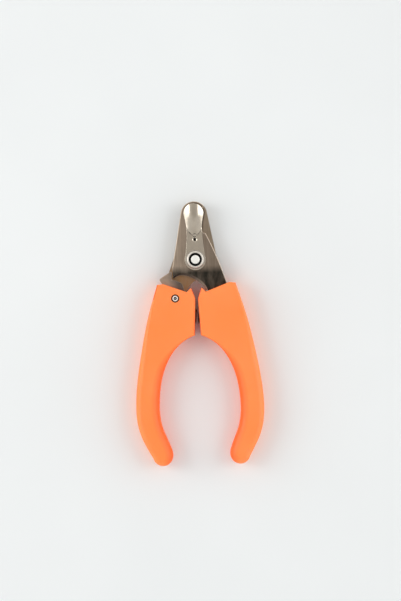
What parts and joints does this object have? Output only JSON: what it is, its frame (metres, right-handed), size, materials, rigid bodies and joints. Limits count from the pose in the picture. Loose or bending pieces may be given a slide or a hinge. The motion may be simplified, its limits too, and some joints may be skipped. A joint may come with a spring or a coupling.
{
  "type": "pet nail trimmer",
  "caption": "Plier-type pet nail trimmer: crossed notched blades on a bolt, a swinging guard over the jaws, a lever lock, a coil spring and bowed plastic handles.",
  "frame": {"origin": "centre of the footprint on the resting plane, which is the back faces of the handles", "axes": "+Y from the handles to the tip of the jaws, +Z out of the guard side along the pivot, +X to the right seen from the guard side"},
  "size_m": [0.0736, 0.152, 0.0141],
  "materials": {
    "blade_steel": "brushed along the jaw",
    "handle_plastic": "satin, lightly grained",
    "guard_steel": "polished sheet",
    "bolt_steel": "bright zinc",
    "nut_steel": "bright zinc",
    "nylon": "matt",
    "washer_steel": "plain",
    "lever_steel": "tumbled",
    "rivet_steel": "bright nickel",
    "spring_steel": "drawn wire"
  },
  "bodies": {
    "left_half": {"rear_blade": "blade_steel", "left_handle": "handle_plastic", "pivot_bolt": "bolt_steel", "pivot_nut": "nut_steel", "pivot_nut_insert": "nylon", "nut_washer": "washer_steel", "bolt_washer": "washer_steel", "lock_rivet": "rivet_steel", "lock_rivet_washer": "washer_steel", "main_spring": "spring_steel"},
    "right_half": {"front_blade": "blade_steel", "right_handle": "handle_plastic", "guard_washer": "washer_steel"},
    "guard": {"safety_guard": "guard_steel"},
    "lock": {"lock_lever": "lever_steel"}
  },
  "joints": [
    {"name": "blade_pivot", "type": "hinge", "parent": "left_half", "child": "right_half", "pos_m": [0, 0.0424, 0.0065], "axis": [0, 0, 1], "range_deg": [0, 22], "deforming": ["main_spring"]},
    {"name": "guard_swing", "type": "hinge", "parent": "right_half", "child": "guard", "pos_m": [0, 0.0424, 0.0096], "axis": [0, 0, 1], "range_deg": [-90, 80]},
    {"name": "lock_swing", "type": "hinge", "parent": "left_half", "child": "lock", "pos_m": [-0.01232, 0.02037, 0.0076], "axis": [0, 0, 1], "range_deg": [0, 44]}
  ],
  "couplings": [
    {"joint": "lock_swing", "follows": "blade_pivot", "ratio": 2}
  ]
}
